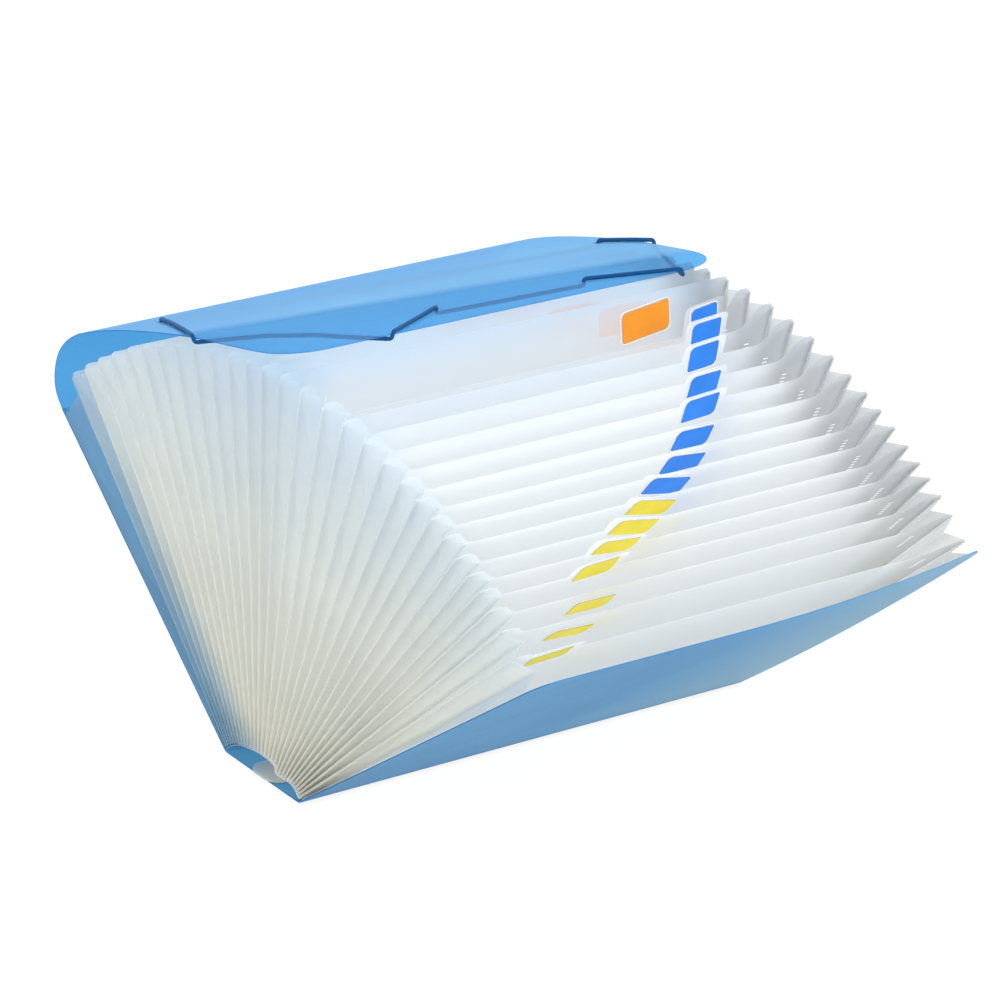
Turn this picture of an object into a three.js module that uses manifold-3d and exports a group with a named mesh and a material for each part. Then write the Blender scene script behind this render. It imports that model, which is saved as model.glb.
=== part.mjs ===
// Expanding file folder standing open on its spine, pockets fanned out.
// Millimetres, +Z up. The origin is the centre of the underside of the spine,
// X runs along the spine, -Y is the front cover's side, +Y the back cover's.
import * as THREE from 'three';
import Module from 'manifold-3d';

const wasm = await Module();
wasm.setup();
const { Manifold } = wasm;

// ---------------------------------------------------------------- dimensions
const LENGTH = 330;            // along the spine
const HALF = LENGTH / 2;
const SPINE = 73;              // width of the spine between its two folds
const COVER_T = 0.8;           // cover and flap sheet
const FOLD_R = 2.2;            // radius of the spine folds, middle of the sheet
const FRONT_DEG = 50.8;        // front cover from the vertical
const BACK_DEG = 52.0;         // back cover from the vertical
const FRONT_H = 260;           // front cover, spine fold to free edge
const BACK_H = 233;            // back cover, spine fold to the flap's fold
const FRONT_CORNER_R = 16;
const FRONT_LIFT = 11.5;       // the far top corner of the front cover curls in

// middle of the flap sheet from its fold to its free edge, (y, z)
const FLAP_PATH = [
  [228.6, 154], [230.6, 166], [227, 180], [214, 194], [189, 207], [160, 218.5],
  [128, 229.5], [98, 238.5], [68, 246], [38, 253.5], [4.5, 263]];
const FOLD_CLEAR = 0.9;        // flap sheet starts this far past the fold line
const FLAP_NEAR_R = 26;        // rounded front corners of the flap
const FLAP_FAR_R = 50;
const HOLE_R = 3;
// cord holes in the flap, (x, distance from the fold along the sheet)
const HOLE_1 = [-136.7, 112], HOLE_2 = [-33.6, 243], HOLE_3 = [67.7, 253], HOLE_4 = [150.0, 164];
const CORD_R = 1.3;
const CORD_N = COVER_T / 2 + 0.3 + CORD_R;

const LEAF_T = 0.3;
const LEAF_L = 246;
const LEAF_Z0 = 2.6;           // foot of the leaves above the underside
// where each leaf's foot stands above the spine: the pocket floor arches in two
// groups, the first eleven leaves and the rest
const LEAF_FOOT = [
  3, 4, 5.4, 6.8, 7.8, 8.6, 8.8, 8.6, 8.2, 8.0, 8.4,
  12.4, 13.4, 14, 14, 14, 14, 13.6, 13.2, 12.6, 12, 11.4, 10.6, 9.6, 8.6, 7.4, 6, 4.6, 3.4];
const FLOOR_T = 0.3;
const LEAF_PITCH = 2.5;        // spacing of their feet across the spine
const LEAF_HALF_X = 164.4;
const LEAF_MID = 232;          // the front leaves' top edge is lower between the two end ears
const LEAF_MID_LAST = 223;     // and lower still on the last of them
const LOW_LEAVES = 15;         // leaves with that lower edge, from the front
const EAR = [139, 157];        // an ear rises between these distances from the middle
const TAB_SIDE = 4;            // a tab holds each label that stands over the top edge
const TAB_TOP = 2.6;
const LEAF_DEG = [
  -46.8, -43.3, -40.6, -38.1, -35.9, -33.4, -30.5, -27.7, -24.8, -21.6,
  -18.0, -14.1, -10.1, -6.1, -1.6, 2.6, 6.0, 9.0, 12.5, 16.0,
  19.6, 23.3, 27.0, 30.4, 33.9, 37.5, 40.7, 43.8, 47.0];

// gusset: one pleated strip at each end, a ridge on each leaf, a valley between
const GUSSET_T = 0.24;
const GUSSET_PLEAT = 14;       // width of one pleat panel
const GUSSET_X = 165.0;        // ridges
const RIDGE_HALF = 0.5;
const VALLEY_W = 0.5;
const GUSSET_R = [1.2, 60, 130, 190, 243];

const LABEL_T = 0.3;

const STRIP = [334, 27, 0.8];  // base strip on the spine, under the pockets

// labels: [leaf number from the front, x of the centre, distance up the leaf, width, height,
// tilt in the leaf's plane in degrees with the far end up, colour]
const BLUE = '#2f88f2', YELLOW = '#efe02c', ORANGE = '#ee9428';
const LABELS = [
  [1, -131, 228.5, 26, 16, 12, YELLOW], [2, -95.6, 208.5, 31, 12, -8, YELLOW], [3, -75.1, 211.6, 28, 15, -1, YELLOW],
  [4, -78.3, 235.8, 25, 17.5, 6.5, YELLOW], [5, -56.7, 235.4, 30, 13.3, -11, YELLOW], [6, -32.6, 229.1, 33.5, 13.4, -16.5, YELLOW],
  [7, -7.2, 222.1, 34, 12.6, -16.5, YELLOW],
  [8, 13.7, 220.6, 32.3, 13.6, -14.5, BLUE], [9, 35.9, 219.6, 28.6, 14.1, -8, BLUE], [10, 52.9, 222.2, 26.3, 15.2, -1.5, BLUE],
  [11, 68.9, 228.1, 23.8, 16.5, 4.8, BLUE], [12, 85.4, 227.9, 21.5, 16, 3, BLUE], [13, 97.7, 233.7, 20.5, 16.8, 5.5, BLUE],
  [14, 114.4, 236.3, 21, 14.8, 4.8, BLUE], [15, 130.4, 234.5, 19, 12, 7.5, BLUE],
  [16, 102.4, 228.7, 35, 19, 7, ORANGE], [17, 97, 226, 33, 17, 0, ORANGE],
  [18, 70, 226, 33, 17, 0, ORANGE], [19, 43, 226, 33, 17, 0, ORANGE], [20, 16, 226, 33, 17, 0, ORANGE],
  [21, -11, 226, 33, 17, 0, ORANGE], [22, -38, 226, 33, 17, 0, ORANGE], [23, -65, 226, 33, 17, 0, ORANGE]];

// ------------------------------------------------------------------- helpers
const rad = (d) => d * Math.PI / 180;

function material(color, roughness, opacity = 1) {
  return new THREE.MeshStandardMaterial({
    color, roughness, metalness: 0, opacity, transparent: opacity < 1 });
}

// closed body from a list of points and a list of polygons, outward
function solid(points, faces) {
  const g = new THREE.BufferGeometry();
  g.setAttribute('position', new THREE.Float32BufferAttribute(points.flat(), 3));
  const index = [];
  for (const f of faces) for (let k = 1; k + 1 < f.length; k++) index.push(f[0], f[k], f[k + 1]);
  g.setIndex(index);
  return g;
}

// signed volume, so a body can be turned right side out
function volume(g) {
  const p = g.attributes.position, ix = g.index.array;
  const a = new THREE.Vector3(), b = new THREE.Vector3(), c = new THREE.Vector3();
  let v = 0;
  for (let i = 0; i < ix.length; i += 3) {
    a.fromBufferAttribute(p, ix[i]); b.fromBufferAttribute(p, ix[i + 1]); c.fromBufferAttribute(p, ix[i + 2]);
    v += a.dot(b.cross(c)) / 6;
  }
  return v;
}
function outward(g) {
  if (volume(g) < 0) {
    const ix = g.index.array;
    for (let i = 0; i < ix.length; i += 3) { const t = ix[i]; ix[i] = ix[i + 1]; ix[i + 1] = t; }
  }
  return g;
}

// sheet of thickness t along a path of (y, z) points; lo and hi give its x range,
// lift(x, i) how far station i stands off its path at x, cols the steps across
function sheet(path, t, lo, hi, lift = () => 0, cols = 1) {
  const n = path.length, pts = [], faces = [], w = cols + 1;
  const normals = path.map((_, i) => {
    const a = path[Math.max(0, i - 1)], b = path[Math.min(n - 1, i + 1)];
    const dy = b[0] - a[0], dz = b[1] - a[1], l = Math.hypot(dy, dz);
    return [-dz / l, dy / l];
  });
  for (let i = 0; i < n; i++) {
    const [y, z] = path[i], [ny, nz] = normals[i];
    for (const h of [-t / 2, t / 2]) {
      for (let c = 0; c < w; c++) {
        const x = lo[i] + (hi[i] - lo[i]) * c / cols, d = h + lift(x, i);
        pts.push([x, y + ny * d, z + nz * d]);
      }
    }
  }
  // the ring of points round station i
  const ring = (i) => [...Array(w).keys()].map((c) => 2 * w * i + c)
    .concat([...Array(w).keys()].map((c) => 2 * w * i + w + (w - 1 - c)));
  const m = 2 * w;
  for (let i = 0; i + 1 < n; i++) {
    const p = ring(i), q = ring(i + 1);
    for (let k = 0; k < m; k++) faces.push([p[k], q[k], q[(k + 1) % m], p[(k + 1) % m]]);
  }
  for (let c = 0; c < cols; c++) {
    const e = 2 * w * (n - 1);
    faces.push([c, c + 1, w + c + 1, w + c]);
    faces.push([e + c, e + w + c, e + w + c + 1, e + c + 1]);
  }
  return outward(solid(pts, faces));
}

function toManifold(g) {
  return new Manifold(new wasm.Mesh({
    numProp: 3,
    vertProperties: Float32Array.from(g.attributes.position.array),
    triVerts: Uint32Array.from(g.index.array) }));
}
function fromManifold(m) {
  const mesh = m.getMesh(), g = new THREE.BufferGeometry();
  const v = [];
  for (let i = 0; i < mesh.vertProperties.length; i += mesh.numProp) {
    v.push(mesh.vertProperties[i], mesh.vertProperties[i + 1], mesh.vertProperties[i + 2]);
  }
  g.setAttribute('position', new THREE.Float32BufferAttribute(v, 3));
  g.setIndex(Array.from(mesh.triVerts));
  return g;
}

const group = new THREE.Group();
function add(name, geometry, mat, parent = group) {
  const flat = geometry.index ? geometry.toNonIndexed() : geometry;
  flat.deleteAttribute('normal');
  flat.computeVertexNormals();
  const mesh = new THREE.Mesh(flat, mat);
  mesh.name = name;
  parent.add(mesh);
  return mesh;
}

// ---------------------------------------------------- cover: one folded sheet
const coverMat = () => material('#5fa9d8', 0.45, 0.85);

// how far the front cover stands in from its flat at x, d up from the fold
function frontLift(x, d) {
  const u = Math.min(1, Math.max(0, (x + 20) / (HALF + 20)));
  return FRONT_LIFT * u * u * (d / FRONT_H) ** 2;
}
function coverPath() {
  const z0 = COVER_T / 2, a = rad(FRONT_DEG), b = rad(BACK_DEG), h = SPINE / 2;
  const front = (d) => [-h - d * Math.sin(a), z0 + d * Math.cos(a)];
  const back = (d) => [h + d * Math.sin(b), z0 + d * Math.cos(b)];
  const path = [], up = [];
  // free edge of the front cover first; its last stations shape the corners
  for (const c of [0, 0.6, 2.3, 5, 8, 11.5, 16, 28, 44, 64, 88, 116, 146, 178, 212]) {
    path.push(front(FRONT_H - c)); up.push(FRONT_H - c);
  }
  const fold = (from, corner, to) => {
    const curve = new THREE.QuadraticBezierCurve(
      new THREE.Vector2(...from), new THREE.Vector2(...corner), new THREE.Vector2(...to));
    for (const p of curve.getPoints(5)) { path.push([p.x, p.y]); up.push(0); }
  };
  fold(front(FOLD_R), [-h, z0], [-h + FOLD_R, z0]);
  fold([h - FOLD_R, z0], [h, z0], back(FOLD_R));
  path.push(back(BACK_H - 0.3)); up.push(0);
  return { path, up };
}
{
  const { path, up } = coverPath();
  const inset = up.map((d) => {
    const c = d > 0 ? FRONT_H - d : FRONT_CORNER_R;
    return c >= FRONT_CORNER_R ? 0
      : FRONT_CORNER_R - Math.sqrt(Math.max(0, FRONT_CORNER_R ** 2 - (FRONT_CORNER_R - c) ** 2));
  });
  // the path runs down the front cover, so its left hand is the inner side
  add('cover', sheet(path, COVER_T, inset.map((d) => -HALF + d), inset.map((d) => HALF - d),
    (x, i) => frontLift(x, up[i]), 12), coverMat());
}

// --------------------------------------------------------------------- flap
const foldLine = [SPINE / 2 + BACK_H * Math.sin(rad(BACK_DEG)), COVER_T / 2 + BACK_H * Math.cos(rad(BACK_DEG))];
const flapCurve = new THREE.CatmullRomCurve3(
  [foldLine, ...FLAP_PATH].map(([y, z]) => new THREE.Vector3(0, y, z)), false, 'centripetal');
flapCurve.arcLengthDivisions = 2000;
const FLAP_L = flapCurve.getLength();

// point at (x, s, n): along the spine, along the sheet, off its middle
function onFlap(x, s, n) {
  const u = Math.min(1, Math.max(0, s / FLAP_L));
  const p = flapCurve.getPointAt(u), t = flapCurve.getTangentAt(u);
  const over = s - u * FLAP_L;
  // outward normal of the sheet: up and away from the pockets
  return new THREE.Vector3(x, p.y + over * t.y + n * t.z, p.z + over * t.z - n * t.y);
}
{
  const s = [FOLD_CLEAR];
  for (let d = 7; d < 62; d += 5) s.push(d);
  for (let d = 65; d < FLAP_L - 52; d += 13) s.push(d);
  for (const d of [50, 44, 37, 30, 26, 22, 17, 12, 8, 5, 2.5, 1, 0.25, 0]) s.push(FLAP_L - d);
  const path = s.map((d) => { const p = onFlap(0, d, 0); return [p.y, p.z]; });
  const inset = (r) => s.map((d) => {
    const c = FLAP_L - d;
    return c >= r ? 0 : r - Math.sqrt(Math.max(0, r * r - (r - c) ** 2));
  });
  const near = inset(FLAP_NEAR_R), far = inset(FLAP_FAR_R);
  let body = toManifold(sheet(path, COVER_T, near.map((d) => -HALF + d), far.map((d) => HALF - d)));
  for (const [x, d] of [HOLE_1, HOLE_2, HOLE_3, HOLE_4]) {
    const p = onFlap(x, d, 0), q = onFlap(x, d, 1).sub(p);
    const tilt = Math.atan2(-q.y, q.z) * 180 / Math.PI;
    const pin = Manifold.cylinder(8, HOLE_R, HOLE_R, 24, true)
      .rotate([tilt, 0, 0]).translate([p.x, p.y, p.z]);
    body = body.subtract(pin);
  }
  add('flap', fromManifold(body), coverMat());
}

// ------------------------------------------------------------- elastic cord
// One loop: over the sheet between a hole and an edge, under it in between.
{
  const N = CORD_N, over = 2.1;
  const edgeNear = -HALF - over, edgeFar = HALF + over, edgeFront = FLAP_L + over;
  const loop = [
    [HOLE_1[0], HOLE_1[1], -N], [HOLE_1[0], HOLE_1[1], N],
    [edgeNear, 188, N], [edgeNear, 190, -N],
    [-152, 198, -N], [-131, 210, -N], [-112, 233, -N], [-96, edgeFront, -N], [-94, edgeFront, N],
    [HOLE_2[0], HOLE_2[1], N], [HOLE_2[0], HOLE_2[1], -N],
    [HOLE_3[0], HOLE_3[1], -N], [HOLE_3[0], HOLE_3[1], N],
    [117, edgeFront, N], [118.5, edgeFront, -N],
    [edgeFar, 197, -N], [edgeFar, 196, N],
    [HOLE_4[0], HOLE_4[1], N], [HOLE_4[0], HOLE_4[1], -N]].map((p) => new THREE.Vector3(...p));
  const R = 1.75, pts = [], n = loop.length;
  for (let i = 0; i < n; i++) {
    const a = loop[(i + n - 1) % n], b = loop[i], c = loop[(i + 1) % n];
    const u = a.clone().sub(b).normalize(), v = c.clone().sub(b).normalize();
    const turn = Math.PI - u.angleTo(v);
    const cut = Math.min(R * Math.tan(turn / 2), 0.49 * a.distanceTo(b), 0.49 * c.distanceTo(b));
    const p = b.clone().addScaledVector(u, cut), q = b.clone().addScaledVector(v, cut);
    const bend = new THREE.QuadraticBezierCurve3(p, b.clone().lerp(p.clone().add(q).multiplyScalar(0.5), 0.12), q);
    for (const w of bend.getPoints(4)) pts.push(w);
    // the straight run on to the next corner, in steps that follow the sheet
    const nextU = b.clone().sub(c).normalize(), nextV = loop[(i + 2) % n].clone().sub(c).normalize();
    const nt = Math.PI - nextU.angleTo(nextV);
    const nextCut = Math.min(R * Math.tan(nt / 2), 0.49 * b.distanceTo(c), 0.49 * loop[(i + 2) % n].distanceTo(c));
    const end = c.clone().addScaledVector(nextU, nextCut);
    const steps = Math.floor(q.distanceTo(end) / 11);
    for (let k = 1; k < steps; k++) pts.push(q.clone().lerp(end, k / steps));
  }
  const line = pts.map((p) => onFlap(p.x, p.y, p.z));
  const m = line.length, SIDES = 8, v = [], faces = [];
  // frames carried round the loop without twist; the last turn is shared out
  const tan = line.map((_, i) => line[(i + 1) % m].clone().sub(line[(i + m - 1) % m]).normalize());
  const frames = [];
  let u = new THREE.Vector3(0, 0, 1).cross(tan[0]).normalize();
  for (let i = 0; i <= m; i++) {
    const t = tan[i % m];
    u = u.clone().addScaledVector(t, -u.dot(t)).normalize();
    frames.push([u.clone(), t.clone().cross(u)]);
  }
  const [u0, w0] = frames[0], uEnd = frames[m][0];
  const gap = Math.atan2(uEnd.dot(w0), uEnd.dot(u0));
  for (let i = 0; i < m; i++) {
    const [a, b] = frames[i], fix = -gap * i / m;
    for (let k = 0; k < SIDES; k++) {
      const ang = fix + 2 * Math.PI * k / SIDES;
      const p = line[i].clone().addScaledVector(a, CORD_R * Math.cos(ang)).addScaledVector(b, CORD_R * Math.sin(ang));
      v.push([p.x, p.y, p.z]);
    }
  }
  for (let i = 0; i < m; i++) for (let k = 0; k < SIDES; k++) {
    const j = (i + 1) % m, l = (k + 1) % SIDES;
    faces.push([i * SIDES + k, i * SIDES + l, j * SIDES + l, j * SIDES + k]);
  }
  add('elastic_loop', outward(solid(v, faces)), material('#0b4a86', 0.7));
}

// ------------------------------------------------------------------- leaves
// A leaf's own frame: x along the spine, y up the leaf, z towards the back.
const leaves = LEAF_DEG.map((deg, i) => {
  const foot = new THREE.Group();
  foot.position.set(0, (i - (LEAF_DEG.length - 1) / 2) * LEAF_PITCH, LEAF_Z0);
  // y becomes (0, sin, cos) and z becomes (0, cos, -sin)
  const a = rad(deg);
  foot.matrixAutoUpdate = false;
  foot.matrix.makeBasis(new THREE.Vector3(-1, 0, 0), new THREE.Vector3(0, Math.sin(a), Math.cos(a)),
    new THREE.Vector3(0, Math.cos(a), -Math.sin(a))).setPosition(foot.position);
  foot.matrix.decompose(foot.position, foot.quaternion, foot.scale);
  foot.matrixAutoUpdate = true;
  group.add(foot);
  return foot;
});

// distance up the leaf at which its foot lies
const footUp = (i) => (LEAF_FOOT[i] - LEAF_Z0) / Math.cos(rad(LEAF_DEG[i]));
const mid = (i) => (i === LOW_LEAVES - 1 ? LEAF_MID_LAST : LEAF_MID);
// height of the top edge at x, without the tab
function topEdge(x, i) {
  if (i >= LOW_LEAVES) return LEAF_L;
  const t = Math.min(1, Math.max(0, (Math.abs(x) - EAR[0]) / (EAR[1] - EAR[0])));
  return mid(i) + (LEAF_L - mid(i)) * t * t * (3 - 2 * t);
}
function leafShape(i) {
  const foot = footUp(i);
  const pts = [[LEAF_HALF_X, foot], [LEAF_HALF_X, LEAF_L - 3], [LEAF_HALF_X - 1, LEAF_L - 0.9], [LEAF_HALF_X - 3, LEAF_L]];
  const label = LABELS.find((l) => l[0] === i + 1);
  let tab = null;
  if (label && i < LOW_LEAVES) {
    const [w, h, tilt] = label.slice(3, 6), lean = Math.abs(Math.sin(rad(tilt)));
    const top = label[2] + h / 2 / Math.cos(rad(tilt)) + TAB_TOP, half = (w + h * lean) / 2 + TAB_SIDE;
    // a leaf's own x runs the other way; the tab's top edge follows the label's tilt
    const rise = -half * Math.tan(rad(tilt));
    if (top + Math.abs(rise) > mid(i) + 0.8) tab = [-label[1] - half, -label[1] + half, top - rise, top + rise];
  }
  const ear = i < LOW_LEAVES ? [157, 154, 151, 148, 145, 142, 139] : [];
  const edge = [...ear, ...ear.slice().reverse().map((x) => -x)].map((x) => [x, topEdge(x, i)]);
  for (const p of edge) if (!tab || p[0] < tab[0] - 0.5 || p[0] > tab[1] + 0.5) pts.push(p);
  if (tab) {
    const [a, b, ya, yb] = tab, turn = (y) => Math.max(0, Math.min(3, (y - mid(i)) * 0.6));
    const r = turn(ya), q = turn(yb), slope = (yb - ya) / (b - a);
    const side = [
      [b + 0.3, topEdge(b + 0.3, i)], [b, yb - q], [b - 0.3 * q, yb - 0.3 * q], [b - q, yb - q * slope],
      [a + r, ya + r * slope], [a + 0.3 * r, ya - 0.3 * r], [a, ya - r], [a - 0.3, topEdge(a - 0.3, i)]];
    // where a steep tab's top meets the leaf's own edge
    if ((ya - mid(i)) * (yb - mid(i)) < 0) side.push([a + (mid(i) - ya) / slope, mid(i)]);
    pts.push(...side.filter((p) => p[1] >= topEdge(p[0], i) - 0.01));
    pts.sort((p, q) => (p[1] === foot ? 1e3 : p[0]) < (q[1] === foot ? 1e3 : q[0]) ? 1 : -1);
  }
  pts.push([-LEAF_HALF_X + 3, LEAF_L], [-LEAF_HALF_X + 1, LEAF_L - 0.9], [-LEAF_HALF_X, LEAF_L - 3], [-LEAF_HALF_X, foot]);
  return new THREE.Shape(pts.map((p) => new THREE.Vector2(...p)));
}

leaves.forEach((foot, i) => {
  const g = new THREE.ExtrudeGeometry(leafShape(i), { depth: LEAF_T, bevelEnabled: false, curveSegments: 4 });
  g.translate(0, 0, -LEAF_T / 2);
  add(`pocket_leaf_${String(i + 1).padStart(2, '0')}`, g, material('#e6ecee', 0.4, 0.6), foot);
});

// ------------------------------------------------------------------- labels
function labelShape(w, h) {
  const x = w / 2, y = h / 2, r = 4, q = 1, s = new THREE.Shape();
  s.moveTo(-x + r, -y);
  s.lineTo(x - q, -y); s.absarc(x - q, -y + q, q, -Math.PI / 2, 0, false);
  s.lineTo(x, y - r); s.absarc(x - r, y - r, r, 0, Math.PI / 2, false);
  s.lineTo(-x + q, y); s.absarc(-x + q, y - q, q, Math.PI / 2, Math.PI, false);
  s.lineTo(-x, -y + r); s.absarc(-x + r, -y + r, r, Math.PI, 1.5 * Math.PI, false);
  return s;
}
const count = {};
for (const [leaf, x, up, w, h, tilt, color] of LABELS) {
  const name = { [BLUE]: 'blue', [YELLOW]: 'yellow', [ORANGE]: 'orange' }[color];
  count[name] = (count[name] || 0) + 1;
  const g = new THREE.ExtrudeGeometry(labelShape(w, h), { depth: LABEL_T, bevelEnabled: false, curveSegments: 3 });
  g.rotateZ(-rad(tilt));
  g.translate(-x, up, -(LEAF_T / 2 + 0.3 + LABEL_T));
  add(`label_${name}_${count[name]}`, g, material(color, 0.45), leaves[leaf - 1]);
}

// ------------------------------------------------------------------ gussets
// The end of each cover takes the place of a leaf just inside its inner face.
function gusset(side) {
  const off = COVER_T / 2 + GUSSET_T / 2 + 0.4;
  const planes = LEAF_DEG.map((deg, i) => ({
    y: (i - (LEAF_DEG.length - 1) / 2) * LEAF_PITCH, z: LEAF_Z0, a: rad(deg) }));
  const fa = rad(-FRONT_DEG), ba = rad(BACK_DEG);
  planes.unshift({ y: -SPINE / 2 + off * Math.cos(fa), z: COVER_T / 2 - off * Math.sin(fa), a: fa });
  planes.push({ y: SPINE / 2 - off * Math.cos(ba), z: COVER_T / 2 + off * Math.sin(ba), a: ba });
  const last = planes.length - 1;
  const rows = GUSSET_R.map((r0, row) => {
    const path = [], radial = [];
    // e runs across the pleats, x runs inward from the ridges
    const P = planes.map((q, i) => {
      const r = row === 0 && i > 0 && i < last ? footUp(i - 1) + 0.4 : r0;
      const rr = i === last ? Math.min(r + 1.6, BACK_H - 4) : i === 0 ? r + 1.6 : r;
      const lift = i === 0 ? frontLift(-side * -GUSSET_X, rr) : 0;
      return {
        p: new THREE.Vector2(q.y + rr * Math.sin(q.a) + lift * Math.cos(q.a), q.z + rr * Math.cos(q.a) - lift * Math.sin(q.a)),
        n: new THREE.Vector2(Math.cos(q.a), -Math.sin(q.a)),
        up: new THREE.Vector3(0, Math.sin(q.a), Math.cos(q.a)) };
    });
    const push = (p, x, up) => { path.push(new THREE.Vector3(-side * (-GUSSET_X + x), p.x, p.y)); radial.push(up); };
    for (let i = 0; i <= last; i++) {
      if (i > 0) push(P[i].p.clone().addScaledVector(P[i].n, -(i === last ? 0 : RIDGE_HALF)), 0, P[i].up);
      if (i === last) break;
      const A = P[i].p.clone().addScaledVector(P[i].n, i === 0 ? 0 : RIDGE_HALF);
      push(A, 0, P[i].up);
      const B = P[i + 1].p.clone().addScaledVector(P[i + 1].n, -(i + 1 === last ? 0 : RIDGE_HALF));
      const e = B.clone().sub(A), g = e.length(); e.normalize();
      const half = (g - VALLEY_W) / 2;
      const depth = Math.sqrt(Math.max(9, GUSSET_PLEAT ** 2 - half ** 2));
      const mid = A.clone().add(B).multiplyScalar(0.5);
      const up = P[i].up.clone().add(P[i + 1].up).normalize();
      push(mid.clone().addScaledVector(e, -VALLEY_W / 2), depth, up);
      push(mid.clone().addScaledVector(e, VALLEY_W / 2), depth, up);
    }
    // offset to the two faces of the film, mitred at each corner
    const h = GUSSET_T / 2, k = path.length;
    return path.map((p, i) => {
      const seg = (a, b) => b.clone().sub(a).cross(radial[i]).normalize();
      const n1 = i > 0 ? seg(path[i - 1], p) : seg(p, path[i + 1]);
      const n2 = i + 1 < k ? seg(p, path[i + 1]) : n1;
      const m = n1.clone().add(n2), len = m.length() / 2;
      m.normalize().multiplyScalar(h / Math.max(0.45, len));
      return [p.clone().add(m), p.clone().sub(m)];
    });
  });
  const k = rows[0].length, R = rows.length, v = [], faces = [];
  for (const row of rows) for (const [a, b] of row) { v.push([a.x, a.y, a.z], [b.x, b.y, b.z]); }
  const id = (r, i, f) => 2 * (r * k + i) + f;
  for (let r = 0; r + 1 < R; r++) {
    for (let i = 0; i + 1 < k; i++) {
      faces.push([id(r, i, 0), id(r, i + 1, 0), id(r + 1, i + 1, 0), id(r + 1, i, 0)]);
      faces.push([id(r, i, 1), id(r + 1, i, 1), id(r + 1, i + 1, 1), id(r, i + 1, 1)]);
    }
    faces.push([id(r, 0, 0), id(r + 1, 0, 0), id(r + 1, 0, 1), id(r, 0, 1)]);
    faces.push([id(r, k - 1, 0), id(r, k - 1, 1), id(r + 1, k - 1, 1), id(r + 1, k - 1, 0)]);
  }
  for (let i = 0; i + 1 < k; i++) {
    faces.push([id(0, i, 0), id(0, i, 1), id(0, i + 1, 1), id(0, i + 1, 0)]);
    faces.push([id(R - 1, i, 0), id(R - 1, i + 1, 0), id(R - 1, i + 1, 1), id(R - 1, i, 1)]);
  }
  return outward(solid(v, faces));
}
add('near_gusset', gusset(-1), material('#d9dfe0', 0.35, 0.6));
add('far_gusset', gusset(1), material('#d9dfe0', 0.35, 0.6));

// ------------------------------------------- pocket floor, under the leaves
{
  const foot = LEAF_FOOT.map((z, i) => [(i - (LEAF_FOOT.length - 1) / 2) * LEAF_PITCH + (z - LEAF_Z0) * Math.tan(rad(LEAF_DEG[i])), z]);
  // straight between the leaves' feet, a little under them
  const path = foot.map(([y, z]) => [y, z - 0.3 - FLOOR_T / 2 - 0.45]);
  const lo = path.map(() => -GUSSET_X + 0.4), hi = path.map(() => GUSSET_X - 0.4);
  add('pocket_floor', sheet(path, FLOOR_T, lo, hi), material('#dfe6e8', 0.4, 0.6));
}

// --------------------------------------------------------------- base strip
{
  const [l, w, t] = STRIP, r = 10, s = new THREE.Shape(), x = l / 2, y = w / 2;
  s.moveTo(-x + r, -y); s.lineTo(x - r, -y); s.absarc(x - r, -y + r, r, -Math.PI / 2, 0, false);
  s.absarc(x - r, y - r, r, 0, Math.PI / 2, false);
  s.lineTo(-x + r, y); s.absarc(-x + r, y - r, r, Math.PI / 2, Math.PI, false);
  s.absarc(-x + r, -y + r, r, Math.PI, 1.5 * Math.PI, false);
  const g = new THREE.ExtrudeGeometry(s, { depth: t, bevelEnabled: false, curveSegments: 6 });
  g.translate(0, 0, COVER_T + 0.35);
  add('base_strip', g, material('#dfe6e8', 0.4, 0.6));
}

export default group;
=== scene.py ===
import math
import bpy
import bmesh
from mathutils import Matrix, Vector


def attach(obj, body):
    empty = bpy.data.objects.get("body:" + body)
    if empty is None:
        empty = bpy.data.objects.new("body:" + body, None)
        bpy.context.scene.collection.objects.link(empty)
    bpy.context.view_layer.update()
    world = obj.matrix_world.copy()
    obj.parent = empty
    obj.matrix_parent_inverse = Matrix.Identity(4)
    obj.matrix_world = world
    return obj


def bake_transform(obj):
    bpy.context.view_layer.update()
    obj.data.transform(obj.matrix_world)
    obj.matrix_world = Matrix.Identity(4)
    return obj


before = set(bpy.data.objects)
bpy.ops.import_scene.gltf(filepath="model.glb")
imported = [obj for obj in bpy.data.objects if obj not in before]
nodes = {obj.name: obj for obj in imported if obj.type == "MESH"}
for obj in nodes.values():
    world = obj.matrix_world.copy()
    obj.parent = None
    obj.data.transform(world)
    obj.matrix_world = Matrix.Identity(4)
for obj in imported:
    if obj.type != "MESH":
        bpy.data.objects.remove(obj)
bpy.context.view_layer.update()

scene = bpy.context.scene

# ------------------------------------------------------------------ camera
# Long lens at the photograph's viewing angle, with its small roll.
AZ, EL, ROLL = math.radians(-40.53), math.radians(25.16), math.radians(5.68)
DIST, F_PX, CX, CY = 3.487, 5990.0, 40.5, 88.5


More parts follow.
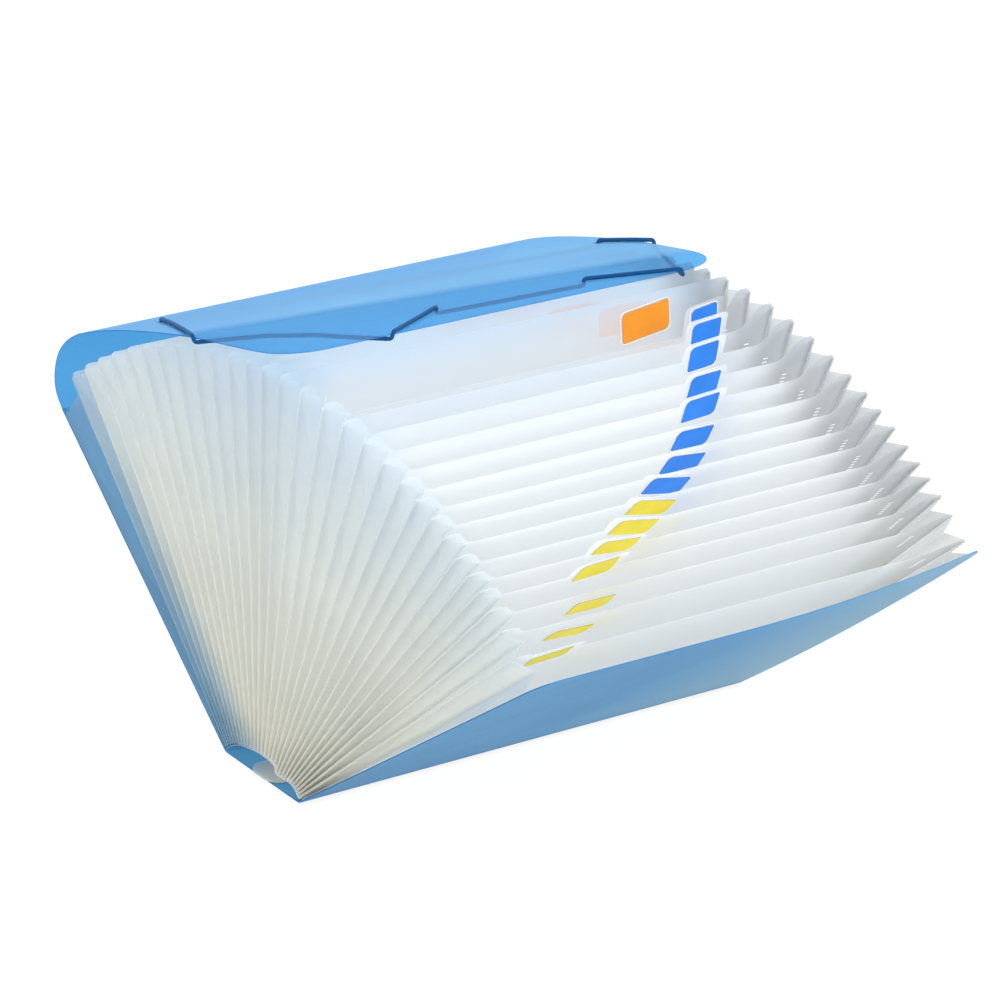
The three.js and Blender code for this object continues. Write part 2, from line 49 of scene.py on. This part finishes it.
def aim_camera():
    fwd = Vector((-math.sin(AZ) * math.cos(EL), math.cos(AZ) * math.cos(EL), -math.sin(EL)))
    right = Vector((math.cos(AZ), math.sin(AZ), 0.0))
    up = right.cross(fwd)
    place = Vector((0.0, -0.0365, 0.1)) - fwd * DIST
    r = math.cos(ROLL) * right + math.sin(ROLL) * up
    u = math.cos(ROLL) * up - math.sin(ROLL) * right
    # turned so that the middle of the picture is the middle of the view
    look = (fwd - r * (CX / F_PX) + u * (CY / F_PX)).normalized()
    r = (r - look * r.dot(look)).normalized()
    u = r.cross(look)
    data = bpy.data.cameras.new("camera")
    data.lens = 36.0 * F_PX / 1000.0
    data.sensor_width = 36.0
    data.clip_end = 60.0
    cam = bpy.data.objects.new("camera", data)
    bpy.context.collection.objects.link(cam)
    cam.matrix_world = Matrix((
        (r.x, u.x, -look.x, place.x), (r.y, u.y, -look.y, place.y),
        (r.z, u.z, -look.z, place.z), (0, 0, 0, 1)))
    scene.camera = cam


aim_camera()


# --------------------------------------------------------------- materials
CLEAR_FILM = 0.44


class Nodes:
    """A small helper to write node trees."""

    def __init__(self, name):
        self.mat = bpy.data.materials.new(name)
        self.mat.use_nodes = True
        self.tree = self.mat.node_tree
        self.shader = self.tree.nodes["Principled BSDF"]

    def new(self, kind, **values):
        n = self.tree.nodes.new(kind)
        for k, v in values.items():
            setattr(n, k, v)
        return n

    def link(self, a, b):
        self.tree.links.new(a, b)

    def math(self, op, a, b=None, clamp=False):
        n = self.new("ShaderNodeMath", operation=op)
        n.use_clamp = clamp
        for k, v in enumerate((a, b)):
            if v is None:
                continue
            if isinstance(v, (int, float)):
                n.inputs[k].default_value = v
            else:
                self.link(v, n.inputs[k])
        return n.outputs[0]

    def place(self):
        return self.new("ShaderNodeTexCoord").outputs["Object"]

    def axis(self, vector, k):
        s = self.new("ShaderNodeSeparateXYZ")
        self.link(vector, s.inputs[0])
        return s.outputs[k]

    def noise(self, vector, scale, detail=3.0, rough=0.55):
        n = self.new("ShaderNodeTexNoise")
        n.inputs["Scale"].default_value = scale
        n.inputs["Detail"].default_value = detail
        n.inputs["Roughness"].default_value = rough
        self.link(vector, n.inputs["Vector"])
        return n.outputs["Fac"]

    def stretch(self, vector, s):
        m = self.new("ShaderNodeMapping")
        m.inputs["Scale"].default_value = s
        self.link(vector, m.inputs["Vector"])
        return m.outputs[0]

    def ramp(self, fac, stops):
        r = self.new("ShaderNodeValToRGB")
        e = r.color_ramp.elements
        while len(e) < len(stops):
            e.new(0.5)
        for k, (at, colour) in enumerate(stops):
            e[k].position = at
            e[k].color = (*colour, 1.0) if len(colour) == 3 else colour
        self.link(fac, r.inputs[0])
        return r.outputs[0]

    def mix(self, fac, a, b, how="MIX"):
        m = self.new("ShaderNodeMix", data_type="RGBA", blend_type=how)
        for k, v in ((0, fac), (6, a), (7, b)):
            if isinstance(v, (int, float)):
                m.inputs[k].default_value = v
            elif isinstance(v, tuple):
                m.inputs[k].default_value = (*v, 1.0)
            else:
                self.link(v, m.inputs[k])
        return m.outputs[2]

    def bump(self, height, strength, distance, normal=None):
        b = self.new("ShaderNodeBump")
        b.inputs["Strength"].default_value = strength
        b.inputs["Distance"].default_value = distance
        self.link(height, b.inputs["Height"])
        if normal is not None:
            self.link(normal, b.inputs["Normal"])
        return b.outputs[0]

    def set(self, **values):
        for k, v in values.items():
            s = self.shader.inputs[k.replace("_", " ")]
            if hasattr(v, "links"):
                self.link(v, s)
            else:
                s.default_value = v


def through(n, colour, share, clear):
    """Light that soaks through the sheet from behind, and a little clear view through it."""
    out = n.tree.nodes["Material Output"]
    soak = n.new("ShaderNodeBsdfTranslucent")
    if hasattr(colour, "links"):
        n.link(colour, soak.inputs["Color"])
    else:
        soak.inputs["Color"].default_value = (*colour, 1.0)
    m = n.new("ShaderNodeMixShader")
    m.inputs[0].default_value = share
    n.link(n.shader.outputs[0], m.inputs[1])
    n.link(soak.outputs[0], m.inputs[2])
    see = n.new("ShaderNodeBsdfTransparent")
    see.inputs["Color"].default_value = (*clear[1], 1.0)
    m2 = n.new("ShaderNodeMixShader")
    if hasattr(clear[0], "links"):
        n.link(clear[0], m2.inputs[0])
    else:
        m2.inputs[0].default_value = clear[0]
    n.link(m.outputs[0], m2.inputs[1])
    n.link(see.outputs[0], m2.inputs[2])
    n.link(m2.outputs[0], out.inputs["Surface"])


def cover_material(name, saturated):
    n = Nodes(name)
    p = n.place()
    cloud = n.noise(p, 9.0, 3.0)
    base = n.ramp(cloud, [(0.3, (0.15, 0.46, 0.76)), (0.7, (0.19, 0.52, 0.81))] if saturated else
                  [(0.3, (0.055, 0.30, 0.57)), (0.7, (0.085, 0.36, 0.63))])
    if not saturated:
        # painted light: paler and greyer towards its far end, where light from the backdrop comes through the
        # sheet
        far_end_painted_light = n.new("ShaderNodeMapRange")
        for k, v in ((1, 0.0), (2, 0.15), (3, 0.0), (4, 1.0)):
            far_end_painted_light.inputs[k].default_value = v
        n.link(n.axis(p, 0), far_end_painted_light.inputs[0])
        base = n.mix(far_end_painted_light.outputs[0], base, (0.25, 0.48, 0.64))
    if saturated:
        # painted shade: the sheet is darker and bluer where it bends over the back
        y = n.axis(p, 1)
        fold_painted_shade = n.new("ShaderNodeMapRange")
        for k, v in ((1, 0.100), (2, 0.200), (3, 0.0), (4, 1.0)):
            fold_painted_shade.inputs[k].default_value = v
        n.link(y, fold_painted_shade.inputs[0])
        base = n.mix(fold_painted_shade.outputs[0], base, (0.10, 0.42, 0.74))
    # cut edges look darker than the faces
    g = n.new("ShaderNodeNewGeometry")
    side = n.math("GREATER_THAN", n.math("ABSOLUTE", n.axis(g.outputs["Normal"], 0)), 0.6)
    base = n.mix(n.math("MULTIPLY", side, 0.6), base, (0.01, 0.16, 0.50))
    sand = n.noise(p, 1500.0, 2.0, 0.7)
    soft = n.noise(p, 28.0, 2.0)
    n.set(Base_Color=base, Roughness=n.ramp(sand, [(0.3, (0.40,) * 3), (0.75, (0.60,) * 3)]), IOR=1.49)
    n.set(Normal=n.bump(sand, 0.35, 0.0002, n.bump(soft, 0.25, 0.003)))
    if not saturated:
        through(n, base, 0.32, (0.17, (0.36, 0.68, 0.90)))
        return n.mat
    # the flap is clearer towards its free edge than behind the cord
    over = n.new("ShaderNodeMapRange", interpolation_type="SMOOTHSTEP")
    for k, v in ((1, 0.070), (2, 0.088), (3, 0.76), (4, 0.34)):
        over.inputs[k].default_value = v
    n.link(n.math("ADD", n.axis(p, 1), n.math("MULTIPLY", n.axis(p, 0), 0.18)), over.inputs[0])
    through(n, base, 0.32, (over.outputs[0], (0.32, 0.66, 0.90)))
    return n.mat


def film_material(name, gusset=False):
    n = Nodes(name)
    p = n.place()
    z = n.axis(p, 2)
    # creamier low down, where many layers lie behind each other; streaked along the film
    streak = n.noise(n.stretch(p, (1.0, 4.0, 4.0) if gusset else (0.6, 3.0, 3.0)), 16.0, 3.0)
    level = n.math("ADD", n.math("MULTIPLY", z, 3.4), n.math("MULTIPLY", streak, 0.35))
    base = n.ramp(level, [(0.1, (0.98, 0.965, 0.90)), (0.55, (0.975, 0.98, 0.965)), (1.0, (0.96, 0.98, 0.99))])
    # greyer at both ends; at the far end this is painted shade, darkest towards the top
    end = n.new("ShaderNodeMapRange", interpolation_type="SMOOTHSTEP")
    for k, v in ((1, 0.118), (2, 0.152), (3, 0.0), (4, 1.0)):
        end.inputs[k].default_value = v
    n.link(n.math("ABSOLUTE", n.axis(p, 0)), end.inputs[0])
    # painted shade: the far end's film darkens from cream low down towards its top
    far = n.ramp(level, [(0.25, (0.90, 0.88, 0.82)), (0.62, (0.76, 0.76, 0.74)), (1.0, (0.60, 0.62, 0.64))])
    near = n.ramp(level, [(0.2, (1.0, 0.975, 0.86)), (0.6, (0.96, 0.965, 0.91)), (1.0, (0.80, 0.87, 0.92))])
    # painted light: the blue of the back cover next to the film, seen through it, is painted into the film's
    # colour
    painted_cover_tint_mask = n.new("ShaderNodeMapRange", interpolation_type="SMOOTHSTEP")
    for k, v in ((1, -0.040), (2, -0.004), (3, 0.0), (4, 1.0)):
        painted_cover_tint_mask.inputs[k].default_value = v
    n.link(n.math("SUBTRACT", n.math("MULTIPLY", n.axis(p, 1), 0.6157), n.math("ADD", n.math("MULTIPLY", z, 0.788), 0.0225)),
           painted_cover_tint_mask.inputs[0])
    near = n.mix(painted_cover_tint_mask.outputs[0], near, (0.34, 0.56, 0.72))
    ends_painted_light = n.mix(n.math("GREATER_THAN", n.axis(p, 0), 0.0), near, far)
    base = n.mix(end.outputs[0], base, ends_painted_light)
    n.set(Base_Color=base, IOR=1.49, Roughness=n.math("ADD", n.math("MULTIPLY", streak, 0.22), 0.10 if gusset else 0.24))
    n.set(Normal=n.bump(streak, 0.45, 0.003))
    through(n, base, 0.56, (CLEAR_FILM + (0.08 if gusset else 0.0), (0.98, 0.99, 0.995)))
    return n.mat


def label_material(name, colour):
    n = Nodes(name)
    p = n.place()
    shade = n.noise(p, 45.0, 2.0)
    dark = tuple(c * 0.86 for c in colour)
    fibre = n.noise(n.stretch(p, (1.0, 3.0, 3.0)), 1500.0, 2.0, 0.7)
    n.set(Base_Color=n.ramp(shade, [(0.3, dark), (0.7, colour)]),
          Roughness=n.ramp(fibre, [(0.3, (0.35,) * 3), (0.8, (0.5,) * 3)]), IOR=1.46,
          Specular_IOR_Level=0.2)
    n.set(Normal=n.bump(fibre, 0.1, 0.0001))
    return n.mat


def elastic_material():
    n = Nodes("elastic_braid")
    p = n.place()
    a = n.new("ShaderNodeTexWave", bands_direction="DIAGONAL")
    a.inputs["Scale"].default_value = 520.0
    n.link(p, a.inputs["Vector"])
    b = n.new("ShaderNodeTexWave", bands_direction="DIAGONAL")
    b.inputs["Scale"].default_value = 520.0
    n.link(n.stretch(p, (-1.0, 1.0, 1.0)), b.inputs["Vector"])
    braid = n.math("MAXIMUM", a.outputs["Fac"], b.outputs["Fac"])
    fuzz = n.noise(p, 2500.0, 2.0)
    n.set(Base_Color=n.ramp(braid, [(0.2, (0.0, 0.035, 0.12)), (0.8, (0.0, 0.08, 0.25))]), Roughness=0.7,
          Specular_IOR_Level=0.2)
    n.set(Normal=n.bump(braid, 0.5, 0.0003, n.bump(fuzz, 0.2, 0.0001)))
    return n.mat


cover_mat = cover_material("cover_sheet", False)
flap_mat = cover_material("flap_sheet", True)
leaf_mat = film_material("pocket_film")
gusset_mat = film_material("gusset_film", True)
label_mats = {
    "blue": label_material("label_blue", (0.022, 0.22, 0.80)),
    "yellow": label_material("label_yellow", (0.84, 0.70, 0.03)),
    "orange": label_material("label_orange", (0.86, 0.29, 0.02))}
cord_mat = elastic_material()


def paint(obj, mat):
    if not obj.data.materials:
        obj.data.materials.append(mat)
    for s in obj.material_slots:
        s.material = mat


for name, obj in nodes.items():
    if name == "cover":
        paint(obj, cover_mat)
    elif name == "flap":
        paint(obj, flap_mat)
    elif name == "elastic_loop":
        paint(obj, cord_mat)
    elif name.startswith("label_"):
        paint(obj, label_mats[name.split("_")[1]])
    elif "gusset" in name:
        paint(obj, gusset_mat)
    else:
        paint(obj, leaf_mat)

# ------------------------------------------------- pieces that only show here
MM = 0.001
LEAF_Z0, LEAF_PITCH, LEAF_T, LEAF_L = 2.6, 2.5, 0.3, 246.0
LEAF_DEG = [
    -46.8, -43.3, -40.6, -38.1, -35.9, -33.4, -30.5, -27.7, -24.8, -21.6,
    -18.0, -14.1, -10.1, -6.1, -1.6, 2.6, 6.0, 9.0, 12.5, 16.0,
    19.6, 23.3, 27.0, 30.4, 33.9, 37.5, 40.7, 43.8, 47.0]
# leaf, x, distance up the leaf, width, height, tilt in the leaf's plane
LABELS = [
    (1, -131, 228.5, 26, 16, 12), (2, -95.6, 208.5, 31, 12, -8), (3, -75.1, 211.6, 28, 15, -1),
    (4, -78.3, 235.8, 25, 17.5, 6.5), (5, -56.7, 235.4, 30, 13.3, -11), (6, -32.6, 229.1, 33.5, 13.4, -16.5),
    (7, -7.2, 222.1, 34, 12.6, -16.5), (8, 13.7, 220.6, 32.3, 13.6, -14.5), (9, 35.9, 219.6, 28.6, 14.1, -8),
    (10, 52.9, 222.2, 26.3, 15.2, -1.5), (11, 68.9, 228.1, 23.8, 16.5, 4.8), (12, 85.4, 227.9, 21.5, 16, 3),
    (13, 97.7, 233.7, 20.5, 16.8, 5.5), (14, 114.4, 236.3, 21, 14.8, 4.8), (15, 130.4, 234.5, 19, 12, 7.5),
    (16, 102.4, 228.7, 35, 19, 7), (17, 97, 226, 33, 17, 0), (18, 70, 226, 33, 17, 0), (19, 43, 226, 33, 17, 0),
    (20, 16, 226, 33, 17, 0), (21, -11, 226, 33, 17, 0), (22, -38, 226, 33, 17, 0), (23, -65, 226, 33, 17, 0)]


def on_leaf(i, x, r, n):
    """Point of leaf i, counted from 0 at the front: r up the leaf, n behind its middle."""
    a = math.radians(LEAF_DEG[i])
    y0 = (i - (len(LEAF_DEG) - 1) / 2) * LEAF_PITCH
    return Vector((x, y0 + r * math.sin(a) + n * math.cos(a), LEAF_Z0 + r * math.cos(a) - n * math.sin(a))) * MM


def new_piece(name, bm, mat, body="folder", smooth=False):
    bmesh.ops.recalc_face_normals(bm, faces=bm.faces)
    me = bpy.data.meshes.new(name)
    bm.to_mesh(me)
    bm.free()
    for f in me.polygons:
        f.use_smooth = smooth
    me.materials.append(mat)
    o = bpy.data.objects.new(name, me)
    bpy.context.collection.objects.link(o)
    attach(o, body)
    return o


def rounded(w, h, r, steps=4):
    """Outline of a rounded rectangle."""
    out = []
    for cx, cy, a0 in ((w / 2 - r, h / 2 - r, 0), (-w / 2 + r, h / 2 - r, 90),
                       (-w / 2 + r, -h / 2 + r, 180), (w / 2 - r, -h / 2 + r, 270)):
        for k in range(steps + 1):
            t = math.radians(a0 + 90 * k / steps)
            out.append((cx + r * math.cos(t), cy + r * math.sin(t)))
    return out


def sleeves():
    """The clear sleeve welded round each label: a low rim with a rounded section."""
    bm = bmesh.new()
    for leaf, x, up, w, h, tilt in LABELS:
        c, t = math.cos(math.radians(tilt)), math.sin(math.radians(tilt))
        loops = []
        for grow, n in ((1.3, -0.16), (1.15, -0.30), (0.9, -0.34), (0.65, -0.28), (0.5, -0.16)):
            ring = rounded(w + 2 * grow, h + 2 * grow, 2.2 + grow)
            loops.append([bm.verts.new(on_leaf(leaf - 1, x + px * c - py * t, up + px * t + py * c, n)) for px, py in ring])
        m = len(loops[0])
        for a, b in zip(loops, loops[1:] + loops[:1]):
            for k in range(m):
                bm.faces.new((a[k], a[(k + 1) % m], b[(k + 1) % m], b[k]))
    return new_piece("label_sleeves", bm, weld_mat, smooth=True)


def bar(bm, i, x, r, wide, tall, n=-0.15, thick=0.22):
    """A short raised weld on a leaf's front, with its top edges taken in."""
    low = [on_leaf(i, x + sx * wide / 2, r + sy * tall / 2, n) for sx, sy in ((-1, -1), (1, -1), (1, 1), (-1, 1))]
    top = [on_leaf(i, x + sx * (wide / 2 - 0.18), r + sy * (tall / 2 - 0.18), n - thick)
           for sx, sy in ((-1, -1), (1, -1), (1, 1), (-1, 1))]
    v = [bm.verts.new(p) for p in low + top]
    bm.faces.new(v[4:8])
    bm.faces.new(v[0:4])
    for k in range(4):
        bm.faces.new((v[k], v[(k + 1) % 4], v[4 + (k + 1) % 4], v[4 + k]))


def welds():
    """Rows of short welds that hold the leaves' ends to the gussets."""
    bm = bmesh.new()
    for i in range(15):
        for end in (-1, 1):
            for k in range(6):
                bar(bm, i, end * 149.0, 221.0 - 2.6 * k, 3.4, 0.8)
    return new_piece("gusset_welds", bm, weld_mat)


def hinge_strip():
    """The sheet between the back cover and the flap, where it bends."""
    back = math.radians(52.0)
    fold = Vector((0, 36.5 + 233 * math.sin(back), 0.4 + 233 * math.cos(back)))
    along = Vector((0, math.sin(back), math.cos(back)))
    # the flap's sheet starts off on this heading
    ahead = (Vector((0, 228.6, 154.0)) - fold).normalized()
    ahead = (along * 0.35 + ahead * 0.65).normalized()
    out = Vector((0, along.z, -along.y))
    bm = bmesh.new()
    rows = []
    steps = 10
    for k in range(steps + 1):
        s = -0.32 + 1.24 * k / steps
        mid = fold + (along * s if s < 0 else ahead * s)
        rows.append([mid + out * n for n in (-0.36, 0.36)])
    cols = 24
    grid = {}
    for r, row in enumerate(rows):
        for f, p in enumerate(row):
            for c in range(cols + 1):
                q = Vector((-165 + 330 * c / cols, p.y, p.z)) * MM
                grid[r, f, c] = bm.verts.new(q)
    for r in range(steps):
        for c in range(cols):
            for f in (0, 1):
                bm.faces.new((grid[r, f, c], grid[r + 1, f, c], grid[r + 1, f, c + 1], grid[r, f, c + 1]))
        for c in (0, cols):
            bm.faces.new((grid[r, 0, c], grid[r, 1, c], grid[r + 1, 1, c], grid[r + 1, 0, c]))
    for r in (0, steps):
        for c in range(cols):
            bm.faces.new((grid[r, 0, c], grid[r, 1, c], grid[r, 1, c + 1], grid[r, 0, c + 1]))
    bmesh.ops.recalc_face_normals(bm, faces=bm.faces)
    me = bpy.data.meshes.new("flap_hinge")
    bm.to_mesh(me)
    bm.free()
    for f in me.polygons:
        f.use_smooth = True
    me.materials.append(flap_mat)
    o = bpy.data.objects.new("flap_hinge", me)
    bpy.context.collection.objects.link(o)
    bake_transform(o)
    return o


def weld_material():
    n = Nodes("film_welds")
    p = n.place()
    f = n.noise(p, 260.0, 2.0)
    n.set(Base_Color=n.ramp(f, [(0.3, (0.84, 0.87, 0.88)), (0.7, (0.95, 0.96, 0.96))]),
          Roughness=n.ramp(f, [(0.3, (0.18,) * 3), (0.7, (0.32,) * 3)]), IOR=1.49)
    n.set(Normal=n.bump(f, 0.2, 0.0002))
    return n.mat


weld_mat = weld_material()
sleeves()
welds()
hinge_strip()

# ------------------------------------------------------------ floor, lights
def make_floor():
    me = bpy.data.meshes.new("floor")
    me.from_pydata([(-9, -9, -0.0005), (9, -9, -0.0005), (9, 9, -0.0005), (-9, 9, -0.0005)], [], [(0, 1, 2, 3)])
    o = bpy.data.objects.new("floor", me)
    bpy.context.collection.objects.link(o)
    n = Nodes("floor_paper")
    f = n.noise(n.place(), 3.0, 2.0)
    n.set(Base_Color=n.ramp(f, [(0.3, (0.86, 0.865, 0.87)), (0.7, (0.88, 0.885, 0.89))]), Roughness=0.9)
    # nearly as white as the backdrop, with a faint shadow under the object
    glow = n.new("ShaderNodeEmission")
    glow.inputs[0].default_value = (1, 1, 1, 1)
    m = n.new("ShaderNodeMixShader")
    n.link(n.math("MULTIPLY", n.new("ShaderNodeLightPath").outputs["Is Camera Ray"], 0.86), m.inputs[0])
    n.link(n.shader.outputs[0], m.inputs[1])
    n.link(glow.outputs[0], m.inputs[2])
    n.link(m.outputs[0], n.tree.nodes["Material Output"].inputs["Surface"])
    me.materials.append(n.mat)


make_floor()


def area(name, place, target, size, power, colour=(1, 1, 1)):
    data = bpy.data.lights.new(name, "AREA")
    data.shape = "RECTANGLE"
    data.size, data.size_y = size
    data.energy = power
    data.color = colour
    o = bpy.data.objects.new(name, data)
    bpy.context.collection.objects.link(o)
    o.location = place
    o.rotation_euler = (Vector(target) - Vector(place)).to_track_quat("-Z", "Y").to_euler()


area("key", (-1.6, -1.4, 2.4), (0, 0, 0.1), (1.6, 1.6), 17)
area("fill", (1.8, -2.0, 1.4), (0, 0, 0.1), (1.8, 1.4), 14)
area("back", (0.9, 2.2, 1.8), (0, 0, 0.15), (2.0, 1.4), 42)
world = bpy.data.worlds.new("studio")
world.use_nodes = True
wt = world.node_tree
bg = wt.nodes["Background"]
bg.inputs[0].default_value = (0.96, 0.98, 1.0, 1.0)
bg.inputs[1].default_value = 1.14
# plain white backdrop behind the object
seen = wt.nodes.new("ShaderNodeBackground")
seen.inputs[0].default_value = (1, 1, 1, 1)
seen.inputs[1].default_value = 1.0
pick = wt.nodes.new("ShaderNodeMixShader")
wt.links.new(wt.nodes.new("ShaderNodeLightPath").outputs["Is Camera Ray"], pick.inputs[0])
wt.links.new(bg.outputs[0], pick.inputs[1])
wt.links.new(seen.outputs[0], pick.inputs[2])
wt.links.new(pick.outputs[0], wt.nodes["World Output"].inputs["Surface"])
world.light_settings.distance = 0.003
scene.world = world
scene.cycles.use_fast_gi = True
scene.cycles.fast_gi_method = "REPLACE"
scene.cycles.ao_bounces_render = 1
scene.cycles.max_bounces = 5
scene.cycles.diffuse_bounces = 3
scene.cycles.glossy_bounces = 2
scene.cycles.transmission_bounces = 4
scene.cycles.transparent_max_bounces = 12
scene.view_settings.view_transform = "Standard"
scene.view_settings.look = "None"
